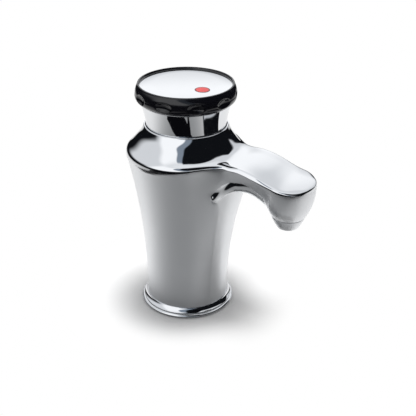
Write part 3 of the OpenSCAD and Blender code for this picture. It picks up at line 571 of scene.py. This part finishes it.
for face in satin_sides:
    face.material_index = 1
for edge in lip_ring + lip_bore_ring + deck_ring + foot_ring + seat_ring:
    edge[crease_layer] = 1.0
for edge in arch_ring:
    edge[crease_layer] = ARCH_CREASE
for edge in ledge_ring:
    corner = any(abs(COLUMNS[v[column_tag]]) == DOOR_SIDE for v in edge.verts)
    edge[crease_layer] = ARCH_CREASE if corner else LEDGE_CREASE
rolled = bmesh.ops.bevel(
    bm, geom=edge_ring, offset=EDGE_ROLL * MM, affect="EDGES", segments=1, profile=0.5, material=-1)
for face in rolled["faces"]:
    face.material_index = 0
bmesh.ops.recalc_face_normals(bm, faces=bm.faces)
cage = bpy.data.meshes.new("casting")
bm.to_mesh(cage)
bm.free()
casting = bpy.data.objects.new("casting", cage)
scene.collection.objects.link(casting)
subdivision = casting.modifiers.new("smooth", "SUBSURF")
subdivision.levels = 3
subdivision.render_levels = 3


FOLD_X, FOLD_Y, FOLD_REACH = 34, 14, 8.5
TIP_TOP_Z, TIP_TOP_START, TIP_TOP_END, TIP_TOP_HALF = 99.5, 60, 78, 15.5
SETTLE_SHARE, SETTLE_ROUNDS = 0.8, 4


def settle(piece, rounds):
    """Moves the cage until the smooth surface passes through the points that the cage was drawn with. Where
    the shoulder folds into the spout, and on top of the tip, the cage stays as drawn so that it is soft."""
    wanted = [v.co.copy() for v in piece.data.vertices]
    for _ in range(rounds):
        smooth = piece.evaluated_get(bpy.context.evaluated_depsgraph_get()).data
        shown = [smooth.vertices[i].co.copy() for i in range(len(wanted))]
        for vert, want, have in zip(piece.data.vertices, wanted, shown):
            from_fold = math.hypot(want.x / MM - FOLD_X, abs(want.y / MM) - FOLD_Y)
            on_top = (want.z > TIP_TOP_Z * MM and TIP_TOP_START < want.x / MM < TIP_TOP_END
                      and abs(want.y / MM) < TIP_TOP_HALF)
            if (want.z < CREASE_Z * MM or from_fold > FOLD_REACH) and not on_top:
                vert.co += (want - have) * SETTLE_SHARE
        piece.data.update()
        bpy.context.view_layer.update()


settle(casting, SETTLE_ROUNDS)
for face in cage.polygons:
    face.use_smooth = True

# Every finish on the tap is uneven in its own way. One node group gives the slow change of colour and gloss
# and the fine relief; each finish places it with its own values.
grain = bpy.data.node_groups.new("uneven_finish", "ShaderNodeTree")
for name, kind, value in (
        ("Colour", "NodeSocketColor", (0.8, 0.8, 0.8, 1)),
        ("Second Colour", "NodeSocketColor", (0.7, 0.7, 0.7, 1)),
        ("Patch Scale", "NodeSocketFloat", 40.0), ("Grain Scale", "NodeSocketFloat", 900.0),
        ("Stretch", "NodeSocketVector", (1.0, 1.0, 1.0)), ("Least Rough", "NodeSocketFloat", 0.3),
        ("Most Rough", "NodeSocketFloat", 0.5)):
    grain.interface.new_socket(name=name, in_out="INPUT", socket_type=kind).default_value = value
for name, kind in (
        ("Colour", "NodeSocketColor"), ("Roughness", "NodeSocketFloat"), ("Relief", "NodeSocketFloat")):
    grain.interface.new_socket(name=name, in_out="OUTPUT", socket_type=kind)
given = add(grain, "NodeGroupInput")
handed_on = add(grain, "NodeGroupOutput")
spot = add(grain, "ShaderNodeVectorMath", operation="MULTIPLY")
grain.links.new(add(grain, "ShaderNodeTexCoord").outputs["Object"], spot.inputs[0])
grain.links.new(given.outputs["Stretch"], spot.inputs[1])
patches = add(grain, "ShaderNodeTexNoise")
patches.inputs["Detail"].default_value = 5
grain.links.new(spot.outputs[0], patches.inputs["Vector"])
grain.links.new(given.outputs["Patch Scale"], patches.inputs["Scale"])
fine = add(grain, "ShaderNodeTexNoise")
fine.inputs["Detail"].default_value = 3
grain.links.new(spot.outputs[0], fine.inputs["Vector"])
grain.links.new(given.outputs["Grain Scale"], fine.inputs["Scale"])
PATCH_START, PATCH_END = 0.35, 0.68
PATCH_PART, FINE_PART = 0.7, 0.3
share = soft_step(grain, patches.outputs["Fac"], PATCH_START, PATCH_END)
patchy = blended(grain, share, given.outputs["Colour"], given.outputs["Second Colour"])
grain.links.new(patchy, handed_on.inputs["Colour"])
gloss = add(grain, "ShaderNodeMapRange")
unevenness = maths(grain, "ADD", maths(grain, "MULTIPLY", share, PATCH_PART),
                   maths(grain, "MULTIPLY", fine.outputs["Fac"], FINE_PART))
grain.links.new(unevenness, gloss.inputs["Value"])
grain.links.new(given.outputs["Least Rough"], gloss.inputs["To Min"])
grain.links.new(given.outputs["Most Rough"], gloss.inputs["To Max"])
grain.links.new(gloss.outputs["Result"], handed_on.inputs["Roughness"])
grain.links.new(fine.outputs["Fac"], handed_on.inputs["Relief"])


def finish(name, colour, second, rough, patch=40, grain_scale=900, stretch=(1, 1, 1), relief=0, **settings):
    """A material with the uneven finish. relief is in millimetres; settings go to the shader's sockets."""
    material = bpy.data.materials.new(name)
    material.use_nodes = True
    tree = material.node_tree
    shader = tree.nodes["Principled BSDF"]
    uneven = add(tree, "ShaderNodeGroup", node_tree=grain)
    uneven.inputs["Colour"].default_value = (*colour, 1)
    uneven.inputs["Second Colour"].default_value = (*second, 1)
    uneven.inputs["Patch Scale"].default_value = patch
    uneven.inputs["Grain Scale"].default_value = grain_scale
    uneven.inputs["Stretch"].default_value = stretch
    uneven.inputs["Least Rough"].default_value = rough[0]
    uneven.inputs["Most Rough"].default_value = rough[1]
    tree.links.new(uneven.outputs["Colour"], shader.inputs["Base Color"])
    tree.links.new(uneven.outputs["Roughness"], shader.inputs["Roughness"])
    if relief:
        bump = add(tree, "ShaderNodeBump")
        bump.inputs["Strength"].default_value = 1
        bump.inputs["Distance"].default_value = relief * MM
        tree.links.new(uneven.outputs["Relief"], bump.inputs["Height"])
        tree.links.new(bump.outputs["Normal"], shader.inputs["Normal"])
    for socket, value in settings.items():
        shader.inputs[socket.replace("_", " ")].default_value = value
    return material


CHROME_COLOUR = (0.7, 0.71, 0.725)
chrome = finish("polished_chrome", CHROME_COLOUR, (0.685, 0.697, 0.712), (0.035, 0.06),
                patch=25, Metallic=1.0)
satin = finish("satin_chrome", CHROME_COLOUR, (0.68, 0.69, 0.705), (0.3, 0.36),
               patch=25, Metallic=1.0)
cage.materials.append(chrome)
cage.materials.append(satin)
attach(casting, "body")
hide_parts("body_casting")


# ---------- worktop fixing ----------
# A flat rubber gasket and the chromed base ring sit between the tap and the worktop. Below it a brass shank,
# a rubber and a steel washer and a brass nut clamp the tap in its hole.
WELD, NO_SIZE = 1e-6, 1e-7
CRISP_EDGE = math.radians(32)
AT_CORNER = 0.01
ROUNDING_STEPS = 4


def turned(profile, axis_x=0.0, steps=144):
    """Spins a closed profile of (radius, height) in millimetres into a ring, and rounds the corners that
    carry a third number, their rounding."""
    bm = bmesh.new()
    verts = [bm.verts.new((corner[0] * MM, 0, corner[1] * MM)) for corner in profile]
    edges = [bm.edges.new(pair) for pair in zip(verts, verts[1:] + verts[:1])]
    bmesh.ops.spin(bm, geom=verts + edges, axis=(0, 0, 1), cent=(0, 0, 0), angle=math.tau, steps=steps,
                   use_merge=True)
    bmesh.ops.remove_doubles(bm, verts=bm.verts, dist=WELD)
    for corner in profile:
        if len(corner) == 3:
            rim = [e for e in bm.edges if all(
                abs(math.hypot(v.co.x, v.co.y) / MM - corner[0]) < AT_CORNER
                and abs(v.co.z / MM - corner[1]) < AT_CORNER for v in e.verts)]
            bmesh.ops.bevel(bm, geom=rim, offset=corner[2] * MM, affect="EDGES", segments=ROUNDING_STEPS,
                            profile=0.5, material=-1)
    bmesh.ops.translate(bm, vec=(axis_x * MM, 0, 0), verts=bm.verts)
    return bm


def arc(start, end, bulge, steps):
    """Points of a curve from start to end; it bows out by bulge to the right of its way."""
    (r1, z1), (r2, z2) = start, end
    length = math.hypot(r2 - r1, z2 - z1)
    points = []
    for step in range(steps + 1):
        t = step / steps
        out = 4 * bulge * t * (1 - t) / length
        points.append((r1 + (r2 - r1) * t + (z2 - z1) * out, z1 + (z2 - z1) * t - (r2 - r1) * out))
    return points


def placed(bm, name, material, body, slot_name, *nodes):
    """Turns a bmesh into a finished, smoothly shaded piece that stands for CAD nodes."""
    bmesh.ops.recalc_face_normals(bm, faces=bm.faces)
    for face in bm.faces:
        face.smooth = True
    mesh = bpy.data.meshes.new(name)
    bm.to_mesh(mesh)
    bm.free()
    mesh.materials.append(material)
    piece = bpy.data.objects.new(name, mesh)
    scene.collection.objects.link(piece)
    even = piece.modifiers.new("even_flats", "WEIGHTED_NORMAL")
    even.keep_sharp = True
    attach(piece, body)
    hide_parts(*nodes)
    return piece


def dressed(node, material, slot_name):
    """The CAD node's own shape, merged and smoothly shaded between its crisp edges."""
    source = frame["nodes"][node]
    bm = bmesh.new()
    bm.from_mesh(source.data)
    bmesh.ops.transform(bm, matrix=source.matrix_world, verts=bm.verts)
    bmesh.ops.remove_doubles(bm, verts=bm.verts, dist=WELD)
    bmesh.ops.dissolve_degenerate(bm, edges=bm.edges, dist=NO_SIZE)
    for edge in bm.edges:
        edge.smooth = len(edge.link_faces) == 2 and edge.calc_face_angle(0) < CRISP_EDGE
    return placed(bm, node + "_finished", material, body_of(source)[0], slot_name, node)


base = turned(
    [(17.0, 1.41), (26.9, 1.41), (26.9, 0.0), (28.9, 0.0)]
    + arc((28.95, 0.05), (28.95, 2.55), 1.05, 10)[1:]
    + [(28.1, 2.6), (28.1, 2.85)]
    + arc((28.7, 3.0), (26.4, 5.9), -0.3, 8)
    + [(26.15, 5.9), (26.15, 5.6), (22.85, 5.6), (22.85, 8.3), (17.0, 8.3)])
placed(base, "base_ring_turned", chrome, "body", "chrome", "base_ring")

rubber = finish("black_rubber", (0.022, 0.022, 0.023), (0.04, 0.04, 0.041), (0.62, 0.85),
                patch=120, grain_scale=2400, relief=0.03)
brass = finish("turned_brass", (0.78, 0.56, 0.27), (0.64, 0.44, 0.2), (0.22, 0.38),
               patch=70, grain_scale=700, stretch=(0.4, 0.4, 5.0), relief=0.008, Metallic=1.0)
steel = finish("zinc_steel", (0.62, 0.63, 0.64), (0.5, 0.51, 0.53), (0.25, 0.42),
               patch=90, grain_scale=1600, relief=0.006, Metallic=1.0)
for node, material, slot_name in (
        ("deck_gasket", rubber, "rubber"), ("threaded_shank", brass, "brass"),
        ("clamp_washer_rubber", rubber, "rubber"), ("clamp_washer_steel", steel, "steel"),
        ("lock_nut", brass, "brass")):
    dressed(node, material, slot_name)


# ---------- pipes and manifold ----------
# A brass block holds the cartridge and three soldered copper tails; a plastic tube takes the water out to
# the nozzle.
copper = finish("drawn_copper", (0.8, 0.4, 0.26), (0.62, 0.27, 0.17), (0.2, 0.42),
                patch=60, grain_scale=1300, stretch=(3.0, 3.0, 0.5), relief=0.006, Metallic=1.0)
acetal = finish("white_acetal", (0.8, 0.79, 0.76), (0.74, 0.73, 0.7), (0.36, 0.5),
                patch=50, grain_scale=1500, relief=0.008)
for node, material, slot_name in (
        ("valve_manifold", brass, "brass"), ("manifold_seal", rubber, "rubber"),
        ("flange_screws", steel, "steel"), ("stop_pin", steel, "steel"),
        ("cold_inlet_tail", copper, "copper"), ("tank_feed_tail", copper, "copper"),
        ("hot_return_tail", copper, "copper"), ("tail_seals", rubber, "rubber"),
        ("delivery_tube", acetal, "acetal"), ("tube_seal", rubber, "rubber")):
    dressed(node, material, slot_name)


# ---------- nozzle ----------
# A satin chromed brass ring, screwed up into the spout's seat on an O-ring, with a plastic disc of holes
# that calms the jet.
nozzle = turned(
    [(5.6, 69.4), (6.0, 69.4), (6.45, 69.75)]
    + arc((6.5, 69.85), (10.15, 76.8), 0.25, 10)
    + [(10.0, JOINT_Z), (7.9, JOINT_Z), (7.9, 78.4), (6.5, 78.4), (6.5, 80.3), (7.9, 80.3), (7.9, 81.5),
       (3.4, 81.5), (3.4, 75.6), (5.05, 75.6), (5.05, 72.2), (5.6, 72.2)],
    axis_x=REACH)
placed(nozzle, "nozzle_ring_turned", satin, "body", "chrome", "nozzle_ring")
dressed("nozzle_oring", rubber, "rubber")
dressed("flow_straightener", acetal, "acetal")


# ---------- cartridge ----------
# Two lapped ceramic discs under a spindle, held down in a brass housing by its nut. A coil spring turns them
# shut.
ceramic = finish("lapped_ceramic", (0.82, 0.81, 0.78), (0.78, 0.77, 0.74), (0.08, 0.16),
                 patch=40, grain_scale=2600, relief=0.002)
for node, material, slot_name in (
        ("seat_seals", rubber, "rubber"), ("fixed_disc", ceramic, "ceramic"),
        ("moving_disc", ceramic, "ceramic"), ("cartridge_housing", brass, "brass"),
        ("thrust_washer", acetal, "acetal"), ("retaining_nut", brass, "brass"), ("spindle", brass, "brass"),
        ("spindle_orings", rubber, "rubber"), ("spindle_clip", steel, "steel"),
        ("return_spring", steel, "steel"), ("slip_ring", acetal, "acetal")):
    dressed(node, material, slot_name)


# ---------- handle ----------
# A plastic hub on the spindle carries the chromed skirt, which is turned from brass and flares up to the
# grip.
for node, material, slot_name in (
        ("handle_hub", acetal, "acetal"), ("handle_screw", steel, "steel"),
        ("skirt_screws", steel, "steel")):
    dressed(node, material, slot_name)
skirt = turned(
    [(22.9, 119.5), (24.1, 119.5), (24.4, 119.8)]
    + arc((24.4, 121.2), (27.8, 137.5), -0.72, 20)
    + [(7.8, 137.5), (7.8, 135.51), (23.1, 135.51), (22.9, 133.0)])
placed(skirt, "handle_skirt_turned", chrome, "handle", "chrome", "handle_skirt")

# The grip is moulded in glossy black plastic. Ten lemon-shaped finger hollows lie along its widest part.
DIMPLES, FIRST_DIMPLE, DIMPLE_Z = 10, -14, 142.2
DIMPLE_AXIS_R, DIMPLE_R, DIMPLE_HALF = 32.6, 3.8, 9.0
DIMPLE_PITCH = 360 / DIMPLES
OUTSIDE_R = 28.2
EASE, EASE_R = 7.0, 30
GRIP_STEPS = 480
grip_outside = (
    arc((28.6, 137.75), (30.65, 140.9), 0.42, 14)
    + arc((30.7, 141.1), (30.6, 142.2), 0.03, 4)[1:]
    + arc((30.55, 142.4), (29.0, 147.7), 0.3, 20)
    + arc((28.95, 147.9), (28.55, 148.4), 0.12, 4))
grip = turned(
    [(15.0, 137.5), (28.3, 137.5)] + grip_outside
    + [(28.1, 148.4), (28.05, 148.35), (28.05, 146.4), (23.0, 146.4), (23.0, 139.5), (15.0, 139.5)],
    steps=GRIP_STEPS)
for vert in grip.verts:
    out = math.hypot(vert.co.x, vert.co.y) / MM
    high = vert.co.z / MM - DIMPLE_Z
    if out < OUTSIDE_R or abs(high) > DIMPLE_R:
        continue
    angle = math.degrees(math.atan2(vert.co.y, vert.co.x)) - FIRST_DIMPLE
    angle = math.radians((angle + DIMPLE_PITCH / 2) % DIMPLE_PITCH - DIMPLE_PITCH / 2)
    along = out * math.sin(angle)
    lemon = DIMPLE_R * (1 - (along / DIMPLE_HALF) ** 2)
    if lemon <= abs(high):
        continue
    cut = (DIMPLE_AXIS_R - math.sqrt(lemon ** 2 - high ** 2)) / math.cos(angle)
    # The smaller of the two radii, with the corner between them eased.
    eased = -math.log(math.exp(-EASE * (out - EASE_R)) + math.exp(-EASE * (cut - EASE_R))) / EASE + EASE_R
    vert.co.x *= eased / out
    vert.co.y *= eased / out
gloss_black = finish("gloss_black_grip", (0.004, 0.004, 0.006), (0.006, 0.006, 0.008), (0.1, 0.16),
                     patch=30, grain_scale=2000, Specular_IOR_Level=0.55)
placed(grip, "grip_ring_moulded", gloss_black, "handle", "grip_black", "grip_ring")

# The plate is a pressed and chromed disc, laid in the grip's rebate. It is slightly crowned, and its edge is
# rolled down all round.
PLATE_TOP, PLATE_CROWN, CROWN_R = 148.3, 0.3, 19
plate = turned(
    [(0.0, 146.4), (27.9, 146.4), (27.9, 147.1)]
    + arc((27.88, 147.15), (CROWN_R, PLATE_TOP - PLATE_CROWN), 0.14, 16)
    + [(r, PLATE_TOP - PLATE_CROWN * (r / CROWN_R) ** 2) for r in (16, 13, 10, 7, 4, 2, 0)])
placed(plate, "top_plate_pressed", chrome, "handle", "chrome", "top_plate")

# The red marker is a small disc let into the plate. It stands a tenth of a millimetre proud at most and
# follows the plate's crown. Round its rim it is painted darker: painted shade from the edge of its seat.
DOT_X, DOT_Y, DOT_R = 14.77, -6.89, 4.5
DOT_BOTTOM, DOT_EDGE, DOT_MIDDLE, DOT_ROUNDING = 147.4, 148.36, 148.38, 0.08
RIM_Z, RIM_START, RIM_END, RIM_SHADE_RED = 148.1, DOT_R - 1.0, DOT_R - 0.5, (0.1, 0.008, 0.008)
marker_red = finish("marker_red", (0.56, 0.035, 0.032), (0.5, 0.028, 0.026), (0.25, 0.32),
                    patch=300, grain_scale=3000, relief=0.004, Specular_IOR_Level=0.3)
marker = marker_red.node_tree
marker_shader = marker.nodes["Principled BSDF"]
from_middle = add(marker, "ShaderNodeVectorMath", operation="DISTANCE")
marker.links.new(add(marker, "ShaderNodeTexCoord").outputs["Object"], from_middle.inputs[0])
from_middle.inputs[1].default_value = (DOT_X * MM, DOT_Y * MM, RIM_Z * MM)
# Painted shade: the marker's colour darkens towards its rim.
rim = soft_step(marker, from_middle.outputs["Value"], RIM_START * MM, RIM_END * MM)
face_colour = marker_shader.inputs["Base Color"].links[0].from_socket
marker.links.new(blended(marker, rim, face_colour, RIM_SHADE_RED), marker_shader.inputs["Base Color"])
dot = turned(
    [(0.0, DOT_BOTTOM), (DOT_R, DOT_BOTTOM), (DOT_R, DOT_EDGE, DOT_ROUNDING), (0.0, DOT_MIDDLE)],
    steps=64)
bmesh.ops.translate(dot, vec=(DOT_X * MM, DOT_Y * MM, 0), verts=dot.verts)
for vert in dot.verts:
    vert.co.z -= PLATE_CROWN * MM * (math.hypot(vert.co.x, vert.co.y) / (CROWN_R * MM)) ** 2
placed(dot, "red_dot_set", marker_red, "handle", "marker_red", "red_dot")

low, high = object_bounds()
